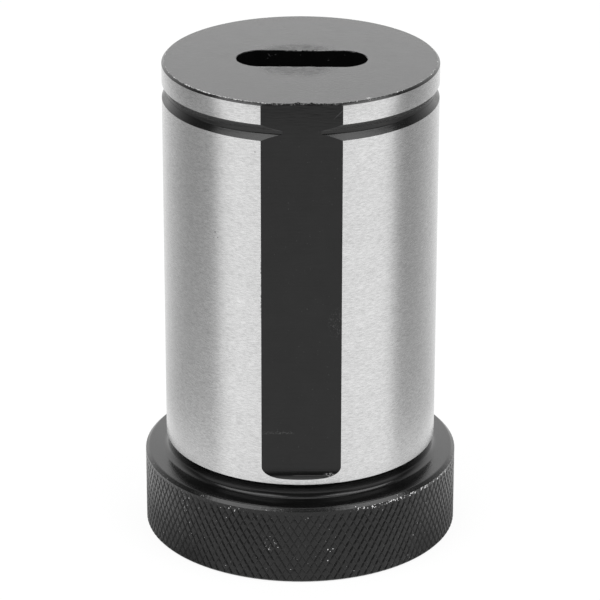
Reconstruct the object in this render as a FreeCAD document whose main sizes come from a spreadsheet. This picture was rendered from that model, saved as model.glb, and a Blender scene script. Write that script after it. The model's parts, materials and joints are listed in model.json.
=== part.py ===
"""Reducing sleeve for a lathe turret: a ground 40 mm shank outside, a number 2 taper socket inside.

One piece, in millimetres. The axis is +Z, the knurled flange rests on the XY plane and the
clamping flat faces -Y. The sleeve is turned and bored from bar, knurled on its flange, milled
for the flat and the tang slot, and ground on its shank and in its taper.
"""
import FreeCAD, Part
import math
import operator
import os

import Sketcher

SIZES = (
    # alias, value, what it is
    ("shank_diameter", 40.0, "ground, fits the turret's bore"),
    ("shank_length", 60.5, "from the shoulder to the end face"),
    ("end_chamfer", 0.32, "at the end face"),
    ("flange_thickness", 11.8, "from the front face to the shoulder"),
    ("flange_step", 3.15, "from the shank out to the knurl's crests"),
    ("flange_chamfer", 0.5, "at the shoulder's edge"),
    ("front_chamfer", 0.2, "at the front face's edge"),
    ("neck_width", 2.4, "relief for the grinding wheel, at the shoulder"),
    ("neck_depth", 0.5, "below the ground shank"),
    ("neck_radius", 1.0, "from the neck's floor into the shoulder"),
    ("groove_distance", 3.1, "from the end face to the ring groove"),
    ("groove_width", 2.4, "at the shank's surface"),
    ("groove_floor", 0.5, "width at the bottom"),
    ("groove_depth", 0.65, "below the shank's surface"),
    ("gauge_diameter", 17.78, "the taper's large end, at the front face"),
    ("taper_run", 20.02, "length in which the taper narrows by 1"),
    ("clearance_run", 4.64, "straight hole behind the taper's small end"),
    ("point_ratio", 0.6, "height of the drill's cone over its radius"),
    ("mouth_chamfer", 0.8, "guards the taper's edge"),
    ("end_wall", 10.0, "from the straight hole's end to the end face"),
    ("slot_length", 18.9, "over its round ends"),
    ("slot_width", 7.26, "takes the tang"),
    ("slot_overlap", 2.0, "how far the slot reaches past the end wall"),
    ("flat_depth", 0.84, "below the shank's surface"),
    ("flat_stop", 2.5, "from the neck to where the cutter's corner starts to rise"),
    ("flat_corner", 2.0, "radius of the cutter's corner"),
    ("knurl_pitch", 1.0, "square to the ridges"),
    ("knurl_depth", 0.2, "from crest to crossing"),
    ("knurl_angle", 30.0, "degrees between the ridges and the axis"),
    ("spare", 1.0, "how far a cutting outline stands clear of the metal"),
)
SEWING = 1e-4  # facets closer than this share an edge


class Size:
    """A number together with the expression that gives it, so that a formula is written once."""

    def __init__(self, value, text):
        self.value = value
        self.text = text

    @staticmethod
    def of(number):
        """The same thing for a plain number."""
        return number if isinstance(number, Size) else Size(number, str(number))

    def joined(self, other, sign, work):
        other = Size.of(other)
        return Size(work(self.value, other.value), f"({self.text} {sign} {other.text})")

    def __add__(self, other):
        return self.joined(other, "+", operator.add)

    def __sub__(self, other):
        return self.joined(other, "-", operator.sub)

    def __mul__(self, other):
        return self.joined(other, "*", operator.mul)

    def __truediv__(self, other):
        return self.joined(other, "/", operator.truediv)

    def __neg__(self):
        return Size(-self.value, f"(-{self.text})")


class Sheet:
    """The driving sizes: a row each in a spreadsheet, and read back as attributes."""

    def __init__(self, document, rows):
        self.cells = document.addObject("Spreadsheet::Sheet", "sizes")
        for row, (alias, value, meaning) in enumerate(rows, 1):
            self.cells.set(f"A{row}", meaning)
            self.cells.set(f"B{row}", str(value))
            self.cells.setAlias(f"B{row}", alias)
        document.recompute()

    def __getattr__(self, alias):
        return Size(self.cells.get(alias), f"sizes.{alias}")


class Outline:
    """A closed outline in one of a body's origin planes, with every corner held by an expression.

    A corner is (across, up). A corner of four is the end of an arc: (across, up, centre, turn),
    where centre is across and up and turn is 1 for an arc that runs anticlockwise, -1 for clockwise.
    """

    def __init__(self, body, name, plane):
        self.sketch = body.newObject("Sketcher::SketchObject", name)
        origin = next(item for item in body.Origin.OriginFeatures if item.Role == plane)
        self.sketch.AttachmentSupport = [(origin, "")]
        self.sketch.MapMode = "FlatFace"

    def draw(self, corners):
        starts = [corners[-1]] + corners[:-1]
        for start, end in zip(starts, corners):
            self.sketch.addGeometry(self.edge(start, end), False)
        ends = [2 if len(corner) == 2 or corner[3] > 0 else 1 for corner in corners]
        for index, corner in enumerate(corners):
            following = (index + 1) % len(corners)
            near = 3 - ends[following]
            self.sketch.addConstraint(
                Sketcher.Constraint("Coincident", index, ends[index], following, near))
            self.hold("DistanceX", index, ends[index], corner[0])
            self.hold("DistanceY", index, ends[index], corner[1])
            if len(corner) > 2:
                self.hold("DistanceX", index, 3, corner[2][0])
        return self.sketch

    def edge(self, start, end):
        first, last = self.point(start), self.point(end)
        if len(end) == 2:
            return Part.LineSegment(first, last)
        if end[3] < 0:
            first, last = last, first
        centre = self.point(end[2])
        out, back = first - centre, last - centre
        circle = Part.Circle(centre, FreeCAD.Vector(0, 0, 1), out.Length)
        return Part.ArcOfCircle(circle, math.atan2(out.y, out.x), math.atan2(back.y, back.x))

    def point(self, corner):
        return FreeCAD.Vector(Size.of(corner[0]).value, Size.of(corner[1]).value, 0)

    def hold(self, kind, geometry, end, size):
        """Sets how far a point lies from the sketch's origin, bound to the size's expression."""
        size = Size.of(size)
        index = self.sketch.addConstraint(Sketcher.Constraint(kind, -1, 1, geometry, end, size.value))
        self.sketch.setExpression(f"Constraints[{index}]", size.text)


def turned(body, s):
    """The outside as it leaves the lathe, with stock left on the flange's rim."""
    shank = s.shank_diameter / 2
    shoulder = s.flange_thickness
    end = shoulder + s.shank_length
    stock = shank + s.flange_step + s.spare
    neck = shank - s.neck_depth
    neck_top = shoulder + s.neck_width
    groove_top = end - s.groove_distance
    groove_bottom = groove_top - s.groove_width
    groove_side = (s.groove_width - s.groove_floor) / 2
    groove_radius = shank - s.groove_depth
    outline = Outline(body, "turned_outline", "XZ_Plane").draw([
        (0, 0),
        (stock, 0),
        (stock, shoulder),
        (neck + s.neck_radius, shoulder),
        (neck, shoulder + s.neck_radius, (neck + s.neck_radius, shoulder + s.neck_radius), -1),
        (neck, neck_top - s.neck_depth),
        (shank, neck_top),
        (shank, groove_bottom),
        (groove_radius, groove_bottom + groove_side),
        (groove_radius, groove_top - groove_side),
        (shank, groove_top),
        (shank, end - s.end_chamfer),
        (shank - s.end_chamfer, end),
        (0, end),
    ])
    revolve(body, "PartDesign::Revolution", "turning", outline)


def bored(body, s):
    """The taper socket, the straight hole behind it and the drill's point."""
    mouth = s.gauge_diameter / 2
    hole_end = s.flange_thickness + s.shank_length - s.end_wall
    taper_end = hole_end - s.clearance_run
    hole = mouth - taper_end / s.taper_run / 2
    outline = Outline(body, "bore_outline", "XZ_Plane").draw([
        (0, -s.spare),
        (mouth + s.mouth_chamfer + s.spare, -s.spare),
        (mouth - s.mouth_chamfer / s.taper_run / 2, s.mouth_chamfer),
        (hole, taper_end),
        (hole, hole_end),
        (0, hole_end + hole * s.point_ratio),
    ])
    revolve(body, "PartDesign::Groove", "boring", outline)


def milled_flat(body, s):
    """The clamping flat, open at the end face and closed by the cutter's rounded corner."""
    floor = s.flat_depth - s.shank_diameter / 2
    outside = floor - s.flat_corner
    stop = s.flange_thickness + s.neck_width + s.flat_stop
    end = s.flange_thickness + s.shank_length + s.spare
    outline = Outline(body, "flat_outline", "YZ_Plane").draw([
        (outside, end),
        (outside, stop - s.flat_corner),
        (floor, stop, (outside, stop), 1),
        (floor, end),
    ])
    pocket(body, "flat_milling", outline, s.shank_diameter, "Symmetric")


def milled_slot(body, s):
    """The tang slot, through the end wall into the bore."""
    side = s.slot_width / 2
    centre = (s.slot_length - s.slot_width) / 2
    slot = Outline(body, "slot_outline", "XY_Plane")
    slot.sketch.setExpression("AttachmentOffset.Base.z", (s.flange_thickness + s.shank_length).text)
    outline = slot.draw([
        (centre, -side),
        (centre, side, (centre, 0), 1),
        (-centre, side),
        (-centre, -side, (-centre, 0), 1),
    ])
    pocket(body, "slot_milling", outline, s.end_wall + s.slot_overlap, "One side")


def revolve(body, kind, name, outline):
    feature = body.newObject(kind, name)
    feature.Profile = outline
    feature.ReferenceAxis = (outline, ["V_Axis"])
    feature.Angle = 360


def pocket(body, name, outline, depth, sides):
    feature = body.newObject("PartDesign::Pocket", name)
    feature.Profile = outline
    feature.SideType = sides
    feature.setExpression("Length", depth.text)


def rim_waste(document, s):
    """What the knurling and the edge chamfers take off the flange's rim: a ring with a knurled bore.

    Two sets of V grooves cross at the knurl's angle. On their lattice the crests are where row plus
    column is odd and the crossings where it is even, and each diamond is a pyramid of four faces.
    """
    crest = (s.shank_diameter / 2 + s.flange_step).value
    crossing = crest - s.knurl_depth.value
    outside = crest + s.spare.value * 2
    shoulder = s.flange_thickness.value
    shoulder_edge = crest - s.flange_chamfer.value
    front_edge = crest - s.front_chamfer.value
    below, above = -s.spare.value, shoulder + s.spare.value
    low, high = s.front_chamfer.value, shoulder - s.flange_chamfer.value
    angle = math.radians(s.knurl_angle.value)
    ridges = round((crest + crossing) * math.pi * math.cos(angle) / s.knurl_pitch.value)
    columns = 2 * ridges
    step = math.tau / columns
    rows = round((high - low) / (crest * step / math.tan(angle)))
    lattice = [[(crest if (row + column) % 2 else crossing, low + (high - low) * row / rows)
                for column in range(columns)] for row in range(rows + 1)]
    chamfer_below = [[(front_edge, below)] * columns, [(front_edge, 0)] * columns]
    chamfer_above = [[(shoulder_edge, shoulder)] * columns, [(shoulder_edge, above)] * columns]
    closing = [[(outside, above)] * columns, [(outside, below)] * columns]
    loops = chamfer_below + lattice + chamfer_above + closing
    waste = document.addObject("Part::Feature", "rim_waste")
    waste.Shape = woven(loops, step)
    return waste


def woven(loops, step):
    """A ring-shaped solid through loops of (radius, height), one for each step round the axis."""
    columns = len(loops[0])
    points = [
        FreeCAD.Vector(radius * math.cos(column * step), radius * math.sin(column * step), height)
        for loop in loops
        for column, (radius, height) in enumerate(loop)
    ]
    facets = []
    for row in range(len(loops)):
        above = (row + 1) % len(loops)
        for column in range(columns):
            beside = (column + 1) % columns
            a, b = row * columns + column, row * columns + beside
            c, d = above * columns + beside, above * columns + column
            if (row + column) % 2:
                facets += [(a, d, b), (b, d, c)]
            else:
                facets += [(a, c, b), (a, d, c)]
    shell = Part.Shape()
    shell.makeShapeFromMesh((points, facets), SEWING)
    return Part.makeSolid(shell)


def sleeve(document, s):
    """The whole piece: the machined body less what the knurling takes off its rim."""
    body = document.addObject("PartDesign::Body", "machined")
    for operation in (turned, bored, milled_flat, milled_slot):
        operation(body, s)
    knurled = document.addObject("Part::Cut", "knurled")
    knurled.Base = body
    knurled.Tool = rim_waste(document, s)
    knurled.Refine = False
    knurled.Label = "sleeve"
    knurled.Placement = FreeCAD.Placement()
    return knurled


def check(document, pieces):
    """Stops with the name of any object that failed, and of any piece that isn't one sound solid."""
    for item in document.Objects:
        if {"Invalid", "Error"} & set(item.State):
            raise RuntimeError(f"{item.Name} failed: {item.State}")
    for piece in pieces:
        shape = piece.Shape
        if shape.isNull() or not shape.isValid() or len(shape.Solids) != 1:
            raise RuntimeError(f"{piece.Label} isn't one sound solid")
    features = [item for item in document.Objects if hasattr(item, "Profile")]
    for before, after in zip(features, features[1:]):
        if after.Shape.Volume >= before.Shape.Volume:
            raise RuntimeError(f"{after.Name} cuts nothing")


def main():
    document = FreeCAD.newDocument("reducing_sleeve")
    pieces = [sleeve(document, Sheet(document, SIZES))]
    document.recompute()
    check(document, pieces)
    os.makedirs("parts", exist_ok=True)
    for piece in pieces:
        piece.Shape.exportStep(f"parts/{piece.Label}.step")
        print(piece.Label, "volume", round(piece.Shape.Volume), "faces", len(piece.Shape.Faces))


main()
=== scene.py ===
# %% [markdown]
# # A reducing sleeve, dressed for the camera
#
# The sleeve is one piece of hardened steel: a ground shank over a knurled flange, with a clamping
# flat, a ring groove and a tang slot. The construction file already holds its true sizes, so this
# script loads that model as a fixed frame and builds a finer skin around it. The skin gets what the
# camera can see and a sheet of sizes can't say: the knurl's flats, broken edges, grinding lines,
# black oxide and wear.
#
# The frame comes first, and its box is kept, because the finished skin has to fit inside it.

# %% Load the frame
import json
import math

import bmesh
import bpy
from mathutils import Matrix, Vector, noise


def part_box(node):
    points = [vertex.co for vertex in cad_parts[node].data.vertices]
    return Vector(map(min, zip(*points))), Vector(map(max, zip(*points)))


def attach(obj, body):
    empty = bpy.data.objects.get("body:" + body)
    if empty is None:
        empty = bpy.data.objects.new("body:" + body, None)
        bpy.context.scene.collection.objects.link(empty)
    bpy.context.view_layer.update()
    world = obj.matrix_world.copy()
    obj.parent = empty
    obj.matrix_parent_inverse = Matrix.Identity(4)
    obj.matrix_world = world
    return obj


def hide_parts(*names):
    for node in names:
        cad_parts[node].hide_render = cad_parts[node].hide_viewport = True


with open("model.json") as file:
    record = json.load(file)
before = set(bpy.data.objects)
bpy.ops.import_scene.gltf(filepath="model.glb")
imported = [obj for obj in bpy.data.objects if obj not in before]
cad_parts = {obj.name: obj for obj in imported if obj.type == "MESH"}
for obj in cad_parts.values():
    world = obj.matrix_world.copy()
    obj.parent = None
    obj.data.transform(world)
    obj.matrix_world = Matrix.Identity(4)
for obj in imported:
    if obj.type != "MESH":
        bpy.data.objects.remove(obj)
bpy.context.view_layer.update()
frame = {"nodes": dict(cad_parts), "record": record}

print("pieces in the frame:", sorted(frame["nodes"]))

# %% [markdown]
# ## Sizes
#
# The places that other things mate with are stated in the frame's record, so they are read from
# there and not typed again: the shank's radius, the shoulder, the end face and the clamping flat.
# The knurl's crests give the widest point of the box. What is left are the small forms between
# those places, in millimetres, which a machinist would find on the drawing.

# %% Places from the frame, small sizes from the drawing
MM = 0.001
mounts = {mount["name"]: mount for mount in frame["record"]["mounts"]}
SHANK = mounts["shank"]["dims"]["r_mm"] * MM
SHOULDER = mounts["shoulder"]["pos_m"][2]
END = mounts["tang_slot"]["pos_m"][2]
FLAT = mounts["clamping_flat"]["pos_m"][1]
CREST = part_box("sleeve")[1].x

NECK_DEPTH, NECK_WIDTH, NECK_ROUND, NECK_TOP_ROUND = 0.5 * MM, 2.4 * MM, 1.0 * MM, 0.9 * MM
GROOVE_BELOW_END, GROOVE_WIDTH = 3.1 * MM, 2.4 * MM
GROOVE_FLOOR, GROOVE_DEPTH, GROOVE_ROUND = 0.5 * MM, 0.65 * MM, 0.3 * MM
END_CHAMFER, SHOULDER_CHAMFER, FRONT_CHAMFER = 0.32 * MM, 0.5 * MM, 0.2 * MM
LIP_ROUND, SHOULDER_ROUND = 0.06 * MM, 0.3 * MM
MOUTH, MOUTH_CHAMFER, TAPER_RUN = 8.89 * MM, 0.8 * MM, 20.02
HOLE_END, CLEARANCE_RUN, DRILL_POINT = END - 10.0 * MM, 4.64 * MM, 0.6
FLAT_STOP, FLAT_RAMP = 2.5 * MM, 1.7 * MM
SLOT_LENGTH, SLOT_WIDTH, SLOT_DEPTH = 18.9 * MM, 7.26 * MM, 12.0 * MM

print(f"shank {SHANK / MM:.2f} mm, crest {CREST / MM:.3f}")
print(f"shoulder {SHOULDER / MM:.2f} mm, end {END / MM:.2f}")

# %% [markdown]
# ## Camera
#
# The camera was found by matching the sleeve's circles to the ellipses in the photograph: every
# circle gives the height it lies at and how far the camera looks down. It is a long lens close to
# half a metre away, a little under 23 degrees above the horizon. In Blender a camera looks along
# its own -Z with +Y up, so the three axes are written as the columns of a rotation.

# %% Camera
LOOK_AT = Vector((-0.00006, 0.0, 0.03479))
DISTANCE = 0.5074
ELEVATION = math.radians(22.79)
ROLL = math.radians(0.08)
LENS, FILM = 206.2, 36.0

ahead = Vector((0.0, math.cos(ELEVATION), -math.sin(ELEVATION)))
right = Matrix.Rotation(-ROLL, 3, ahead) @ Vector((1.0, 0.0, 0.0))
up = right.cross(ahead)
camera = bpy.data.objects.new("camera", bpy.data.cameras.new("camera"))
camera.data.lens = LENS
camera.data.sensor_width = FILM
camera.matrix_world = (
    Matrix.Translation(LOOK_AT - ahead * DISTANCE)
    @ Matrix((right, up, -ahead)).transposed().to_4x4()
)
bpy.context.scene.collection.objects.link(camera)
bpy.context.scene.camera = camera
bpy.context.scene.view_settings.view_transform = "Standard"
print("camera at", [round(value, 4) for value in camera.matrix_world.translation])

# %% [markdown]
# ## A shorthand for shader nodes
#
# A finish is mostly arithmetic on positions: how far from the axis, how close to an edge. Dozens of
# Math nodes are hard to read, so `Wire` holds a node's output and lets Python's own signs add them.
# `Nodes.add` makes any other node: its settings come first, because some of them change which
# sockets exist, and then each socket gets a number, a colour or another wire.

# %% Wires and nodes
class Wire:
    """A node's output that can stand in a sum."""

    def __init__(self, nodes, socket):
        self.nodes = nodes
        self.socket = socket

    def math(self, operation, *others, first=None):
        terms = (self, *others) if first is None else (first, self, *others)
        return self.nodes.add("Math", {"operation": operation}, dict(enumerate(terms)))

    def __add__(self, other):
        return self.math("ADD", other)

    def __sub__(self, other):
        return self.math("SUBTRACT", other)

    def __rsub__(self, other):
        return self.math("SUBTRACT", first=other)

    def __mul__(self, other):
        return self.math("MULTIPLY", other)

    def __truediv__(self, other):
        return self.math("DIVIDE", other)

    def __pow__(self, other):
        return self.math("POWER", other)

    __radd__ = __add__
    __rmul__ = __mul__

    def rise(self, low, high):
        """0 below low, 1 above high, and smooth between them."""
        return self.nodes.add(
            "MapRange",
            {"interpolation_type": "SMOOTHSTEP"},
            {"Value": self, "From Min": low, "From Max": high},
        )

    def band(self, low, high, soft):
        """1 between low and high, fading to 0 over soft on each side."""
        return self.rise(low - soft, low + soft) * (1 - self.rise(high - soft, high + soft))

    def output(self, name):
        """Another output of the same node."""
        return Wire(self.nodes, self.socket.node.outputs[name])


class Nodes:
    """An empty node tree, filled by calls."""

    def __init__(self, tree):
        self.tree = tree
        tree.nodes.clear()

    def add(self, kind, settings=None, sockets=None):
        node = self.tree.nodes.new("ShaderNode" + kind)
        for name, setting in (settings or {}).items():
            setattr(node, name, setting)
        by_identifier = {socket.identifier: socket for socket in node.inputs}
        for name, value in (sockets or {}).items():
            socket = by_identifier.get(name) or node.inputs[name]
            if isinstance(value, Wire):
                self.tree.links.new(value.socket, socket)
            else:
                socket.default_value = value
        outputs = [socket for socket in node.outputs if socket.enabled]
        return Wire(self, outputs[0]) if outputs else None

    def mix(self, factor, first, second):
        """Grey or colour, first where the factor is 0 and second where it is 1."""
        return self.add(
            "Mix",
            {"data_type": "RGBA"},
            {"Factor_Float": factor, "A_Color": first, "B_Color": second},
        )

    def noise(self, place, scale, detail=2.0, roughness=0.5):
        """Cloudy values round 0.5."""
        return self.add(
            "TexNoise", {}, {"Vector": place, "Scale": scale, "Detail": detail, "Roughness": roughness}
        )


def grey(level):
    return (level, level, level, 1.0)


# %% [markdown]
# ## The studio
#
# Polished metal shows the room rather than itself, so the room is built first. The photograph's
# reflections say what it was: a white table in front, a bright wall behind, two soft boxes high to
# the left and right, and dark gaps between them at the sides. The world holds the wall and the gaps
# as brightness by direction, and two area lamps are the soft boxes.
#
# The table is a plain white floor. To the camera and in reflections it is nearly its own colour,
# by Light Path, so that it stays white without more light on the sleeve; the small share that is
# still lit keeps the shadow. At the sides the table ended, so reflections find it darker there.
# A strip of it close beside the rim stays bright. Only the rim reflects that strip, and it gives
# the knurl its contrast at the sides.

# %% The wall and the dark gaps
WALL, GAP, CEILING, SCREENS, BRIGHTEST = 1.5, 0.10, 1.6, 0.8, 2.5

world = bpy.data.worlds.new("studio")
bpy.context.scene.world = world
world.use_nodes = True
room = Nodes(world.node_tree)
direction = room.add("SeparateXYZ", {}, {0: room.add("TexCoord").output("Generated")})
across, back, height = direction, direction.output("Y"), direction.output("Z")
level = (across * across + back * back) ** 0.5 + 0.0001
wall = (back / level).rise(0.15, 0.95) * (1 - height.rise(0.5, 0.9))
ceiling = height.rise(0.9, 0.97)
screens = (0 - back / level).band(0.0, 0.76, 0.12) * (1 - height.rise(0.25, 0.45))
glow = GAP + (WALL - GAP) * wall + (CEILING - GAP) * ceiling + (SCREENS - GAP) * screens
seen = room.add("LightPath").output("Is Camera Ray")
glow = glow * (1 - seen) + seen
tone = room.mix(glow / BRIGHTEST, grey(0.0), grey(1.0))
backdrop = room.add("Background", {}, {"Color": tone, "Strength": BRIGHTEST})
room.add("OutputWorld", {}, {"Surface": backdrop})
print("world nodes:", len(world.node_tree.nodes))

# %% The soft boxes
BOX_AWAY, BOX_WIDE, BOX_HIGH, BOX_RADIANCE = 1.0, 0.85, 0.45, 3.2
BOX_PLACES = {"soft_box_left": (-53.0, 50.0), "soft_box_right": (62.0, 48.0)}


def soft_box(name, azimuth, elevation):
    """A flat lamp that faces the sleeve. Its azimuth is 0 in front and grows to the right."""
    azimuth, elevation = math.radians(azimuth), math.radians(elevation)
    away = Vector((
        math.sin(azimuth) * math.cos(elevation),
        -math.cos(azimuth) * math.cos(elevation),
        math.sin(elevation),
    ))
    lamp = bpy.data.objects.new(name, bpy.data.lights.new(name, "AREA"))
    lamp.data.shape = "RECTANGLE"
    lamp.data.size, lamp.data.size_y = BOX_WIDE, BOX_HIGH
    lamp.data.energy = BOX_RADIANCE * math.pi * BOX_WIDE * BOX_HIGH
    facing = away.to_track_quat("Z", "Y").to_matrix().to_4x4()
    lamp.matrix_world = Matrix.Translation(LOOK_AT + away * BOX_AWAY) @ facing
    bpy.context.scene.collection.objects.link(lamp)
    print(f"{name}: {lamp.data.energy:.2f} W")


for name, place in BOX_PLACES.items():
    soft_box(name, *place)

# %% The table
TABLE_RADIUS, TABLE_DROP = 3.0, 0.0001
LIT_SHARE, TABLE_WHITE, TABLE_GLOW = 0.15, 0.85, 1.06
SIDE_NEAR, SIDE_FAR = 0.42, 0.26  # how bright the sides of the table are in a reflection
SIDE_STRIP = 1.05  # and the strip of table close beside the rim
STRIP_FROM, STRIP_TO, STRIP_SOFT = 0.030, 0.050, 0.006
TABLE_EDGE, TABLE_SLANT = -0.0136, 0.21  # where the bright front ends, and its slant on the left


def new_object(name, bm, materials):
    """Turns a bmesh into an object at the origin."""
    mesh = bpy.data.meshes.new(name)
    bm.to_mesh(mesh)
    bm.free()
    for material in materials:
        mesh.materials.append(material)
    piece = bpy.data.objects.new(name, mesh)
    bpy.context.scene.collection.objects.link(piece)
    return piece


def new_material(name):
    material = bpy.data.materials.new(name)
    material.use_nodes = True
    return material, Nodes(material.node_tree)


def table_finish():
    material, nodes = new_material("white_table")
    place = nodes.add("SeparateXYZ", {}, {0: nodes.add("TexCoord").output("Object")})
    x, y = place, place.output("Y")
    distance = (x * x + y * y) ** 0.5
    azimuth = x.math("ARCTAN2", 0 - y) * (180 / math.pi)
    edge = TABLE_EDGE + TABLE_SLANT * x.math("MINIMUM", 0.0)
    front = 1 - ((y - edge) / (distance + 0.0001)).rise(-0.27, 0.07)
    back = azimuth.math("ABSOLUTE").rise(95, 180)
    strip = distance.band(STRIP_FROM, STRIP_TO, STRIP_SOFT)
    side = SIDE_NEAR + (SIDE_FAR - SIDE_NEAR) * distance.rise(0.04, 0.2)
    side = side + (SIDE_STRIP - SIDE_NEAR) * strip
    reflected = side + (1 - side) * (front + (1 - front) * back)
    ray = nodes.add("LightPath")
    camera_ray, glossy = ray.output("Is Camera Ray"), ray.output("Is Glossy Ray")
    clear = ray.output("Is Transmission Ray")
    tone = camera_ray + clear + glossy * reflected
    colour = nodes.mix(tone, grey(0.0), grey(1.0))
    own = nodes.add("Emission", {}, {"Color": colour, "Strength": TABLE_GLOW})
    lit = nodes.add("BsdfDiffuse", {}, {"Color": grey(TABLE_WHITE)})
    share = (camera_ray + clear + glossy) * (1 - LIT_SHARE)
    surface = nodes.add("MixShader", {}, {0: share, 1: lit, 2: own})
    nodes.add("OutputMaterial", {}, {"Surface": surface})
    return material


bm = bmesh.new()
bmesh.ops.create_circle(bm, cap_ends=True, segments=64, radius=TABLE_RADIUS)
bmesh.ops.translate(bm, verts=bm.verts, vec=(0, 0, -TABLE_DROP))
table = new_object("table", bm, [table_finish()])
print("table radius", TABLE_RADIUS, "m")

# %% [markdown]
# ## Black oxide
#
# Everything that wasn't ground is blued black: the oxide is a thin dark layer that keeps every mark
# of the tool below it. It is dark and only a little glossy seen from the front and turns pale at a
# grazing angle, which is how the end face can look light grey in the same photograph in which the
# flat looks black. A low base colour with a plain index of refraction does nearly all of that, and
# the end face gets only a faint streaked tone on top.
#
# Three finishes share it. Turned faces are the smoothest. The milled flat has straight lines. The
# knurl is the coarsest, and worn through to bright steel here and there on its crests. Marks that
# the photograph shows in one spot only, such as a pit or a scratch, are placed in millimetres.

# %% Oxide finishes
OXIDE_IOR, DULL_IOR = 1.48, 1.43  # smooth faces, and those that a cutter or a knurl left coarse
BRIGHT = 0.75


def places(nodes):
    """The position in millimetres: the whole point, then x, y, z and the radius."""
    point = nodes.add(
        "VectorMath",
        {"operation": "SCALE"},
        {0: nodes.add("TexCoord").output("Object"), "Scale": 1 / MM},
    )
    x = nodes.add("SeparateXYZ", {}, {0: point})
    y, z = x.output("Y"), x.output("Z")
    return point, x, y, z, (x * x + y * y) ** 0.5


def stretched(nodes, point, factors):
    return nodes.add("VectorMath", {"operation": "MULTIPLY"}, {0: point, 1: factors})


def spot(nodes, point, place, size, stretch=(1, 1, 1)):
    """1 at a place, 0 outside a ball of that size; the ball can be squeezed along an axis."""
    offset = nodes.add("VectorMath", {"operation": "SUBTRACT"}, {0: point, 1: place})
    offset = stretched(nodes, offset, stretch)
    distance = nodes.add("VectorMath", {"operation": "LENGTH"}, {0: offset}).output("Value")
    return 1 - distance.rise(size * 0.5, size)


def principled(nodes, constants, **varying):
    """The surface shader: constants are set on its sockets, and what varies is linked."""
    sockets = dict(constants)
    sockets.update({name.replace("_", " ").title(): wire for name, wire in varying.items()})
    surface = nodes.add("BsdfPrincipled", {}, sockets)
    nodes.add("OutputMaterial", {}, {"Surface": surface})


def bumped(nodes, height, depth):
    return nodes.add("Bump", {}, {"Height": height, "Strength": 1.0, "Distance": depth})


def turned_oxide():
    material, nodes = new_material("black_oxide_turned")
    point, x, y, z, radius = places(nodes)
    cloud = nodes.noise(point, 0.35, 3.0)
    grain = nodes.noise(point, 4.0, 2.0, 0.6)
    end = END / MM
    on_end = z.rise(end - 0.2, end - 0.02)

    # The end face was handled most: it is dull in smears beside the slot.
    behind = spot(nodes, point, (-0.3, 3.9, end), 6.5, (1.0, 1.9, 1.0))
    before = spot(nodes, point, (-0.4, -3.6, end), 6.5, (1.0, 1.3, 1.0))
    streaks = nodes.noise(stretched(nodes, point, (0.9, 2.4, 1.0)), 1.0, 5.0, 0.7)
    speckle = nodes.noise(stretched(nodes, point, (1.8, 2.8, 1.0)), 1.0, 3.0, 0.8)
    smears = on_end * (behind + before) * (0.35 + 0.65 * streaks.rise(0.40, 0.62))

    # Bright steel shows where the edges lost their oxide.
    ragged = nodes.noise(point, 3.0, 3.0, 0.7)
    front_left = (0 - x).rise(2.0, 6.0) * (0 - y).rise(8.0, 12.0)
    corner = (SHANK - END_CHAMFER) / MM
    end_edge = on_end * radius.band(corner - 0.13, corner + 0.04, 0.04)
    end_edge = end_edge * (front_left * ragged.rise(0.48, 0.56) + ragged.rise(0.59, 0.65))
    end_mark = on_end * spot(nodes, point, (9.5, -17.0, end), 0.6) * ragged.rise(0.50, 0.56)
    end_edge = end_edge + end_mark * 0.7
    rear_edge = y.band(3.80, 3.90, 0.03) * x.band(-2.2, 6.0, 0.3) * ragged.rise(0.42, 0.54)
    front_edge = y.band(-3.64, -3.52, 0.03) * x.band(-6.0, 5.0, 0.5) * ragged.rise(0.46, 0.56)
    slot_edge = rear_edge * 0.45 + front_edge * 0.25
    shoulder = SHOULDER / MM
    shoulder_corner = CREST / MM - 0.3
    shoulder_edge_worn = radius.rise(shoulder_corner, shoulder_corner + 0.05)
    shoulder_edge_worn = shoulder_edge_worn * z.rise(shoulder - 0.8, shoulder - 0.6)
    shoulder_edge_worn = shoulder_edge_worn * ragged.rise(0.66, 0.72)
    worn = (end_edge + on_end * slot_edge + shoulder_edge_worn).math("MINIMUM", 1.0)

    below_end = z.rise(end - 4, end - 3) * (1 - z.rise(end - 0.5, end - 0.1))
    in_slot = below_end * (1 - radius.rise(9, 10))
    flecks = in_slot * nodes.noise(point, 1.6, 2.0).rise(0.69, 0.73)
    feed = nodes.noise(nodes.add("CombineXYZ", {}, {"X": radius, "Y": z}), 5.0, 2.0, 0.7)
    on_shoulder = z.band(shoulder - 0.2, shoulder + 0.2, 0.1)
    # Painted light: the outer part of the groove's upper wall, which faces down, is painted lighter.
    roof = (END - GROOVE_BELOW_END) / MM
    groove_roof_painted_light = z.band(roof - 0.9, roof, 0.1) * radius.rise(SHANK / MM - 1.0, SHANK / MM - 0.6)
    end_tone = (0.02 * streaks + 0.06 * (speckle - 0.46)) * (1 - 0.6 * smears)
    tone = 0.003 + 0.004 * cloud + 0.05 * flecks + 0.05 * groove_roof_painted_light + on_end * end_tone
    rough = 0.15 + 0.10 * cloud + 0.06 * (grain - 0.5) + 0.22 * smears + 0.10 * on_end * (streaks - 0.5)
    end_height = (0.8 + 2.2 * smears) * streaks + 9 * speckle
    height = grain + on_end * end_height + (1 - on_end) * (4 + 2 * on_shoulder) * feed
    principled(
        nodes,
        {"IOR": OXIDE_IOR},
        base_color=nodes.mix(worn, nodes.mix(tone, grey(0.0), grey(1.0)), grey(BRIGHT)),
        metallic=worn,
        roughness=rough + 0.15 * worn,
        normal=bumped(nodes, height, 0.0000025),
    )
    return material


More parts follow.
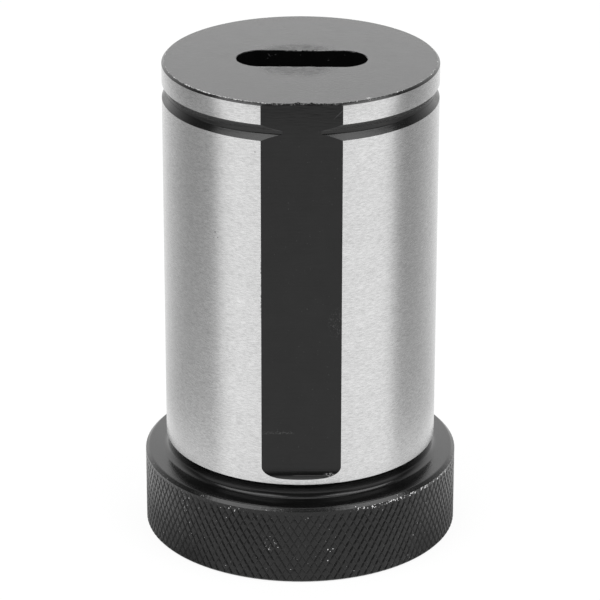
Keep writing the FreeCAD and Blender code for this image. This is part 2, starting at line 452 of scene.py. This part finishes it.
def milled_oxide():
    material, nodes = new_material("black_oxide_milled")
    point, x, _, z, _ = places(nodes)
    lines = nodes.noise(stretched(nodes, point, (0.12, 0.12, 4.0)), 1.0, 4.0, 0.65)
    cloud = nodes.noise(point, 0.4, 3.0)
    grain = nodes.noise(point, 5.0, 2.0, 0.6)
    near_end = z.rise(66.0, 72.0)
    scuffs = nodes.noise(stretched(nodes, point, (0.5, 0.5, 3.0)), 1.0, 2.0, 0.6)
    # The ramp is smoother than the flat. Its lowest part is painted lighter: this is painted light, for
    # the light that its upward slope catches.
    ramp, painted_ramp_light = 1 - z.rise(15.9, 16.4), 1 - z.rise(15.36, 15.46)
    scratch = z.band(21.9, 22.3, 0.05) * x.band(-6.0, -1.0, 0.4) * grain.rise(0.50, 0.62)
    nick = (z - x).band(65.35, 65.45, 0.04) * x.band(4.5, 5.9, 0.2) * x.rise(4.2, 5.6)
    specks = nodes.noise(point, 2.6, 1.0).rise(0.74, 0.77)
    handled = spot(nodes, point, (5.5, -19.2, 39.0), 3.0, (1.6, 1.0, 1.0)) * grain.rise(0.56, 0.62)
    # Painted highlight: a light line along the lip where the ramp meets the shank.
    painted_lip_highlight = z.band(15.38, 15.46, 0.03) * x.band(-1.0, 4.8, 0.3)
    lip_fleck = spot(nodes, point, (4.3, -19.5, 15.5), 1.1, (1.0, 1.0, 3.0)) * grain.rise(0.48, 0.60)
    end_fleck = z.rise(END / MM - 0.3, END / MM - 0.1) * grain.rise(0.54, 0.60)
    # The scratch, nick, specks, handling and the lip's fleck are real marks. The lip's line added here
    # is a painted highlight.
    marks_and_lip_highlight = scratch * 0.06 + nick * 0.08 + specks * 0.02 + handled * 0.04 + painted_lip_highlight * 0.05 + lip_fleck * 0.25
    tone = 0.001 + 0.006 * cloud * (1 - 0.8 * near_end) + marks_and_lip_highlight + end_fleck * 0.3 + 0.02 * painted_ramp_light
    principled(
        nodes,
        {"IOR": DULL_IOR},
        base_color=nodes.mix(tone, grey(0.0), grey(1.0)),
        roughness=0.30 + 0.12 * lines - 0.12 * ramp + 0.08 * near_end,
        normal=bumped(nodes, 1.8 * lines + 8 * near_end * scuffs, 0.000012),
    )
    return material


def knurl_oxide():
    material, nodes = new_material("black_oxide_knurl")
    point, x, y, z, radius = places(nodes)
    grain = nodes.noise(point, 3.5, 3.0, 0.6)
    patches = nodes.noise(point, 0.22, 2.0)
    crest = radius.rise(CREST / MM - 0.06, CREST / MM - 0.03)
    right_edge = z.rise(10.5, 11.0) * x.rise(6.0, 9.0) * (0 - y).rise(4.0, 9.0)
    left_edge = z.rise(9.9, 10.6) * spot(nodes, point, (-10.0, -20.8, 10.9), 2.6)
    handled = spot(nodes, point, (4.0, -22.8, 4.0), 2.2) + spot(nodes, point, (-4.2, -22.8, 5.7), 1.5)
    handled = handled + spot(nodes, point, (-17.0, -15.6, 9.3), 2.0, (1.0, 1.0, 0.7))
    chance = nodes.noise(point, 3.0, 2.0, 0.6) + 0.05 * patches
    rubbed = chance + 0.17 * right_edge + 0.10 * left_edge + 0.08 * handled
    scuffed = crest * rubbed.rise(0.75, 0.79)
    # Painted sheen: the crests are painted lighter towards the sides and the top of the rim. This stands
    # in for the light that the soft boxes and the table beside the rim give them there.
    painted_crest_sheen = z.rise(3.0, 11.0) * x.math("ABSOLUTE").rise(15.0, 22.5)
    painted_crest_sheen = painted_crest_sheen * (1 - 0.6 * x.rise(0.0, 10.0))
    tone = 0.001 + 0.005 * grain + crest * (0.003 + 0.08 * painted_crest_sheen) * (0.3 + 1.4 * grain)
    # The base colour is bright steel where the crests are worn, laid over the dark tone that holds the
    # painted sheen.
    worn = nodes.mix(scuffed, nodes.mix(tone, grey(0.0), grey(1.0)), grey(BRIGHT))
    principled(
        nodes,
        {"IOR": DULL_IOR},
        base_color=worn,
        metallic=scuffed,
        roughness=0.19 + 0.16 * grain,
        normal=bumped(nodes, grain, 0.000014),
    )
    return material


# %% [markdown]
# ## Ground steel
#
# The shank is finished with a grinding wheel, which leaves countless short scratches round the axis.
# They spread a reflection up and down but hardly sideways, so the highlights are upright bands.
# That is anisotropy, turned by a quarter because its own direction runs along the axis. The noise
# is squeezed along the axis for the same reason: each scratch is long round the shank and very thin.

# %% Ground finish
PITS = [  # place and size, in millimetres
    ((-6.35, -18.97, 65.09), 0.12),
    ((-12.09, -15.93, 51.9), 0.16),
    ((-11.7, -16.2, 51.2), 0.12),
    ((19.3, -5.24, 49.57), 0.14),
    ((-19.4, -4.9, 60.0), 0.14),
    ((-12.3, -15.8, 51.0), 0.10),
]


def ground_steel():
    material, nodes = new_material("ground_steel")
    point, x, y, z, _ = places(nodes)
    lines = nodes.noise(stretched(nodes, point, (1.3, 1.3, 6.5)), 1.0, 3.0, 0.75)
    cloud = nodes.noise(stretched(nodes, point, (0.25, 0.25, 0.5)), 1.0, 3.0)
    pits = sum(spot(nodes, point, place, size) for place, size in PITS)
    tone = 0.67 + 0.70 * (lines - 0.5) + 0.08 * (cloud - 0.5)
    ragged = nodes.noise(stretched(nodes, point, (0.3, 0.3, 2.6)), 1.0, 2.0, 0.6)
    flat_edge = x.band(-5.67, -5.5, 0.04) * z.band(41.0, 49.0, 2.0) * (0 - y).rise(19.0, 19.1)
    flat_edge = flat_edge * ragged.rise(0.52, 0.58)
    tone = tone * (1 - 0.6 * (pits + flat_edge).math("MINIMUM", 1.0))
    principled(
        nodes,
        {"Metallic": 1.0, "Anisotropic": 0.8, "Anisotropic Rotation": 0.25},
        base_color=nodes.mix(tone, grey(0.0), grey(1.0)),
        roughness=0.20 + 0.12 * lines,
        normal=bumped(nodes, lines, 0.000002),
    )
    return material


FINISHES = [ground_steel(), turned_oxide(), milled_oxide(), knurl_oxide()]
GROUND, TURNED, MILLED, KNURLED = range(len(FINISHES))
print("finishes:", [material.name for material in FINISHES])

# %% [markdown]
# ## The outline
#
# A lathe makes the real sleeve from one outline, and so does Spin: the outline is a chain of points
# in the XZ plane, from the tip of the drilled hole down through the bore, out under the flange, up
# over the rim, the shoulder and the shank to the middle of the end face. Corners that the tool left
# round are bevelled as vertices before the spin, which is cheaper and rounder than bevelling the
# solid. The rim has a point for each row of squares that the knurl is pressed into.

# %% The outline's corners
RIDGES = 125
CELLS = 6  # squares from one crest to the next along a row
KNURL_ROWS = 33
ROW = (SHOULDER - SHOULDER_CHAMFER - FRONT_CHAMFER) / KNURL_ROWS

hole = MOUTH - (HOLE_END - CLEARANCE_RUN) / TAPER_RUN / 2
groove_top = END - GROOVE_BELOW_END
groove_bottom = groove_top - GROOVE_WIDTH
groove_side = (GROOVE_WIDTH - GROOVE_FLOOR) / 2
neck = SHANK - NECK_DEPTH
neck_top = SHOULDER + NECK_WIDTH
rim_top = SHOULDER - SHOULDER_CHAMFER

# Each corner is its radius, its height and the radius that rounds it off.
BORE = [
    (0, HOLE_END + hole * DRILL_POINT, 0),
    (hole, HOLE_END, 0),
    (hole, HOLE_END - CLEARANCE_RUN, 0),
    (MOUTH - MOUTH_CHAMFER / TAPER_RUN / 2, MOUTH_CHAMFER, LIP_ROUND),
    (MOUTH + MOUTH_CHAMFER, 0, LIP_ROUND),
    (CREST - FRONT_CHAMFER, 0, 0),
]
RIM = [(CREST, FRONT_CHAMFER + ROW * row, 0) for row in range(KNURL_ROWS + 1)]
OUTSIDE = [
    (CREST - SHOULDER_CHAMFER, SHOULDER, SHOULDER_ROUND),
    (neck, SHOULDER, NECK_ROUND),
    (neck, neck_top - NECK_DEPTH, NECK_TOP_ROUND),
    (SHANK, neck_top, LIP_ROUND),
    (SHANK, groove_bottom, LIP_ROUND),
    (SHANK - GROOVE_DEPTH, groove_bottom + groove_side, GROOVE_ROUND),
    (SHANK - GROOVE_DEPTH, groove_top - groove_side, GROOVE_ROUND),
    (SHANK, groove_top, LIP_ROUND),
    (SHANK, END - END_CHAMFER, LIP_ROUND),
    (SHANK - END_CHAMFER, END, LIP_ROUND),
    (0, END, 0),
]
print(f"a row of squares is {ROW / MM:.3f} mm high")


def draw_outline(bm, corners):
    """The corners as a chain of edges, with the rounded ones bevelled."""
    points = [Vector((radius, 0, height)) for radius, height, _ in corners]
    verts = [bm.verts.new(point) for point in points]
    for start, end in zip(verts, verts[1:]):
        bm.edges.new((start, end))
    for index, (_, _, rounding) in enumerate(corners):
        if rounding:
            opening = (points[index - 1] - points[index]).angle(points[index + 1] - points[index])
            bmesh.ops.bevel(
                bm,
                geom=[verts[index]],
                offset=rounding / math.tan(opening / 2),
                offset_type="OFFSET",
                segments=2 if rounding == LIP_ROUND else 6,
                profile=0.5,
                affect="VERTICES",
                material=-1,
            )


bm = bmesh.new()
draw_outline(bm, BORE + RIM + OUTSIDE)
print("outline points:", len(bm.verts))

# %% [markdown]
# ## One wedge, with its knurl
#
# Two sets of grooves cross at 30 degrees to the axis and leave a flat-topped diamond between every
# four crossings, 125 of them round the rim. They are modelled and not bumped, because the camera
# sees the rim's edge against the white table. The sleeve repeats itself 125 times, so only one wedge
# is made: the outline is spun through that angle in six steps, and each point of the rim is pushed
# in by how deep the nearer of the two grooves is there.
#
# The grooves run along the squares' diagonals, so the points at their bottoms are connected across
# each square, and the same is done along the edges of the flat tops. In the photograph the knurl
# fades out under the shoulder, where its roller had not bitten fully.

# %% Wedge
KNURL_DEPTH = 0.108 * MM
FLAT_EDGE = 2 / CELLS  # share of a full V at which the flat top begins
FADED_ROWS = {KNURL_ROWS: 0.25, KNURL_ROWS - 1: 0.6}  # share of the depth that is left there
TOUCHING = 0.001 * MM


def groove_height(column, row):
    """How far up the V the surface is: 0 at the bottom of a groove, 1 midway between grooves."""
    along = [(column + row) / CELLS, (column - row) / CELLS]
    return min(2 * abs(turn - round(turn)) for turn in along)


def spin(angle, steps, copies=False):
    bmesh.ops.spin(
        bm,
        geom=bm.verts[:] + bm.edges[:] + bm.faces[:],
        cent=(0, 0, 0),
        axis=(0, 0, 1),
        angle=angle,
        steps=steps,
        use_duplicate=copies,
    )


wedge = math.tau / RIDGES
spin(wedge, CELLS)
rim = [
    vert for vert in bm.verts
    if math.hypot(vert.co.x, vert.co.y) > CREST - TOUCHING
    and FRONT_CHAMFER - TOUCHING < vert.co.z < rim_top + TOUCHING
]
heights = {}
for vert in rim:
    column = round(math.atan2(vert.co.y, vert.co.x) / wedge * CELLS)
    row = round((vert.co.z - FRONT_CHAMFER) / ROW)
    heights[vert] = groove_height(column, row)
    depth = KNURL_DEPTH * FADED_ROWS.get(row, 1) * (1 - min(heights[vert] / FLAT_EDGE, 1))
    vert.co.xy *= (CREST - depth) / CREST
bottoms = [vert for vert, height in heights.items() if height < 0.01]
edges_of_tops = [vert for vert, height in heights.items() if abs(height - FLAT_EDGE) < 0.01]
bmesh.ops.connect_verts(bm, verts=bottoms)
bmesh.ops.connect_verts(bm, verts=edges_of_tops)
print("wedge:", len(bm.faces), "faces,", len(bottoms), "points at the bottom of a groove")

# %% Finish of each face, then the whole turn
MERGE = 0.002 * MM


def finish_of(face):
    """Ground where a grinding wheel reached, knurled on the rim, and turned elsewhere."""
    middle = face.calc_center_median()
    radius = math.hypot(middle.x, middle.y)
    if radius > CREST - KNURL_DEPTH * 1.1 and FRONT_CHAMFER < middle.z < rim_top:
        return KNURLED
    on_shank = radius > SHANK - LIP_ROUND / 2 and middle.z > neck_top
    in_taper = radius < MOUTH and MOUTH_CHAMFER < middle.z < HOLE_END - CLEARANCE_RUN
    level_face = abs(face.normal.z) > 0.5
    return GROUND if (on_shank or in_taper) and not level_face else TURNED


bmesh.ops.recalc_face_normals(bm, faces=bm.faces)
for face in bm.faces:
    face.material_index = finish_of(face)
spin(math.tau - wedge, RIDGES - 1, copies=True)
bmesh.ops.remove_doubles(bm, verts=bm.verts, dist=MERGE)
bmesh.ops.recalc_face_normals(bm, faces=bm.faces)
open_edges = [edge for edge in bm.edges if len(edge.link_faces) != 2]
print("blank:", len(bm.faces), "faces,", len(open_edges), "open edges")

# %% [markdown]
# ## Worn crests
#
# No two crests of a used knurl are alike, so each point of the rim is worn down by up to two
# hundredths of a millimetre. The wear only takes metal off, so the rim keeps its size.

# %% Worn crests
CREST_WEAR = 0.02 * MM

for vert in bm.verts:
    outward = Vector((vert.co.x, vert.co.y, 0))
    if outward.length > CREST - KNURL_DEPTH / 2 and vert.co.z < SHOULDER:
        wear = abs(noise.noise(vert.co / (0.8 * MM))) * CREST_WEAR
        vert.co -= outward.normalized() * wear
blank = new_object("blank", bm, FINISHES)

# %% [markdown]
# ## Milling the flat and the slot
#
# Both are cut the way a mill cuts them, by a solid of the cutter's shape and a Boolean. The flat's
# cutter is a side profile with a rounded corner, pushed across the shank. Its feed was stopped
# before it was lifted out, so the corner is stretched along the sleeve into a steep ramp.
#
# The slot's cutter is a round-ended block. Its rim was never dressed: it wanders a little, and it
# has a burr that the light catches, so the cutter flares near the end face by an amount that
# changes round the outline. Both cutters carry their own finish into the cut.

# %% Cutters
SPARE = 1.0 * MM
FLAT_TURN = math.radians(0.47)
SLOT_TURN, SLOT_SHIFT = math.radians(-1.1), Vector((0.17 * MM, 0.2 * MM, 0))
FLARE_LEAST, FLARE_MOST, WANDER = 0.02 * MM, 0.12 * MM, 0.06 * MM


def finished_cutter(name, bm, turn, shift, finish):
    bmesh.ops.rotate(bm, verts=bm.verts, cent=(0, 0, 0), matrix=Matrix.Rotation(turn, 3, "Z"))
    bmesh.ops.translate(bm, verts=bm.verts, vec=shift)
    bmesh.ops.recalc_face_normals(bm, faces=bm.faces)
    for face in bm.faces:
        face.material_index = finish
    return new_object(name, bm, FINISHES)


def flat_cutter():
    depth = FLAT + SHANK
    floor_end = neck_top + FLAT_STOP
    stop = floor_end - depth
    outside = FLAT - depth - SPARE
    bm = bmesh.new()
    corners = [(outside, END + SPARE), (outside, stop), (FLAT, stop), (FLAT, END + SPARE)]
    verts = [bm.verts.new((-SHANK, y, z)) for y, z in corners]
    bm.faces.new(verts)
    bmesh.ops.bevel(
        bm,
        geom=[verts[2]],
        offset=depth,
        offset_type="OFFSET",
        segments=10,
        profile=0.5,
        affect="VERTICES",
        material=-1,
    )
    below = [vert for vert in bm.verts if vert.co.z < floor_end]
    stretch = Matrix.Translation((0, 0, -floor_end))
    bmesh.ops.scale(bm, vec=(1, 1, FLAT_RAMP / depth), verts=below, space=stretch)
    pushed = bmesh.ops.extrude_face_region(bm, geom=bm.faces[:])
    moved = [item for item in pushed["geom"] if isinstance(item, bmesh.types.BMVert)]
    bmesh.ops.translate(bm, verts=moved, vec=(2 * SHANK, 0, 0))
    return finished_cutter("flat_cutter", bm, FLAT_TURN, (0, 0, 0), MILLED)


def slot_cutter():
    reach = (SLOT_LENGTH - SLOT_WIDTH) / 2
    bm = bmesh.new()
    bmesh.ops.create_circle(bm, cap_ends=False, segments=96, radius=SLOT_WIDTH / 2)
    for vert in bm.verts:
        vert.co.x += math.copysign(reach, vert.co.x)
    straight = [edge for edge in bm.edges if edge.calc_length() > SLOT_WIDTH]
    bmesh.ops.subdivide_edges(bm, edges=straight, cuts=40)
    for vert in bm.verts:
        wander = noise.noise_vector(vert.co / (1.2 * MM)) * WANDER
        vert.co += Vector((wander.x, wander.y, 0))
        vert.co.z = END - SLOT_DEPTH
    ring = bm.edges[:]
    for rise_to in ("rim", "clear"):
        pushed = bmesh.ops.extrude_edge_only(bm, edges=ring)
        moved = {item for item in pushed["geom"] if isinstance(item, bmesh.types.BMVert)}
        for vert in moved:
            share = 0.5 + noise.noise(Vector((vert.co.x, vert.co.y, 0)) / (1.6 * MM))
            flare = FLARE_LEAST + (FLARE_MOST - FLARE_LEAST) * min(max(share, 0), 1)
            if rise_to == "rim":
                vert.co.z = END - flare
            else:
                centre = Vector((min(max(vert.co.x, -reach), reach), 0, vert.co.z))
                vert.co += (vert.co - centre).normalized() * (flare + SPARE)
                vert.co.z = END + SPARE
        ring = [edge for edge in bm.edges if moved.issuperset(edge.verts)]
    bmesh.ops.holes_fill(bm, edges=bm.edges, sides=0)
    return finished_cutter("slot_cutter", bm, SLOT_TURN, SLOT_SHIFT, TURNED)


# %% Cut
def cut(piece, cutter):
    """Takes the cutter's shape off the piece, then throws the cutter away."""
    step = piece.modifiers.new("cut", "BOOLEAN")
    step.operation = "DIFFERENCE"
    step.solver = "EXACT"
    step.object = cutter
    bpy.context.view_layer.update()
    evaluated = piece.evaluated_get(bpy.context.evaluated_depsgraph_get())
    shape = bpy.data.meshes.new_from_object(evaluated)
    piece.modifiers.clear()
    piece.data = shape
    bpy.data.objects.remove(cutter)
    print("after the cut:", len(shape.polygons), "faces")


cut(blank, flat_cutter())
cut(blank, slot_cutter())

# %% [markdown]
# ## The flat's ragged end
#
# Where the flat runs out of the end face, nobody broke the edge, and it got chipped. The Boolean
# has left a row of points along that edge, so each is moved in by a little, along the end face.
# Noise gives the chips, and one larger nick near the middle is placed. A line is drawn across the
# flat just below the edge first, so that the chips stay short.

# %% Chipped edge
CHIP, CHIP_PITCH, CHIP_HEIGHT = 0.7 * MM, 0.5 * MM, 0.35 * MM
NICK, NICK_REACH, NICK_DEPTH = -0.4 * MM, 0.7 * MM, 0.6 * MM

bm = bmesh.new()
bm.from_mesh(blank.data)
bpy.data.objects.remove(blank)
milled = [face for face in bm.faces if face.material_index == MILLED]
around = {item for face in milled for item in (face, *face.edges, *face.verts)}
bmesh.ops.bisect_plane(bm, geom=list(around), plane_co=(0, 0, END - CHIP_HEIGHT), plane_no=(0, 0, 1))
chipped = 0
for vert in bm.verts:
    finishes = {face.material_index for face in vert.link_faces}
    if finishes == {TURNED, MILLED} and vert.co.z > END - 0.01 * MM:
        chip = max(noise.noise(vert.co / CHIP_PITCH), 0) * CHIP
        nick = max(1 - abs(vert.co.x - NICK) / NICK_REACH, 0) * NICK_DEPTH
        vert.co.y += max(chip, nick)
        chipped += 1
print("points on the ragged edge:", chipped)

# %% [markdown]
# ## Smooth faces, sharp edges
#
# A turned surface should shade as one curve, while every machined edge stays crisp. An edge is crisp
# where the surface turns by more than 30 degrees or where one finish ends and another begins, which
# is how the flat gets a clean border although it meets the shank at only 17 degrees. The broken
# edges are tiny beside the faces they join, so the normals are weighted by area: that keeps a long
# straight wall straight in its reflections.

# %% The finished skin
EDGE_ANGLE = math.radians(30)

for face in bm.faces:
    face.smooth = True
for edge in bm.edges:
    one_finish = len({face.material_index for face in edge.link_faces}) == 1
    edge.smooth = one_finish and edge.calc_face_angle(math.pi) < EDGE_ANGLE
open_edges = [edge for edge in bm.edges if len(edge.link_faces) != 2]
skin = new_object("machined_sleeve", bm, FINISHES)
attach(skin, "root")
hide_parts("sleeve")
weighted = skin.modifiers.new("weighted_normals", "WEIGHTED_NORMAL")
weighted.mode = "FACE_AREA"
weighted.weight = 70
weighted.keep_sharp = True
skin.data.calc_loop_triangles()
print("skin:", len(skin.data.loop_triangles), "triangles,", len(open_edges), "open edges")
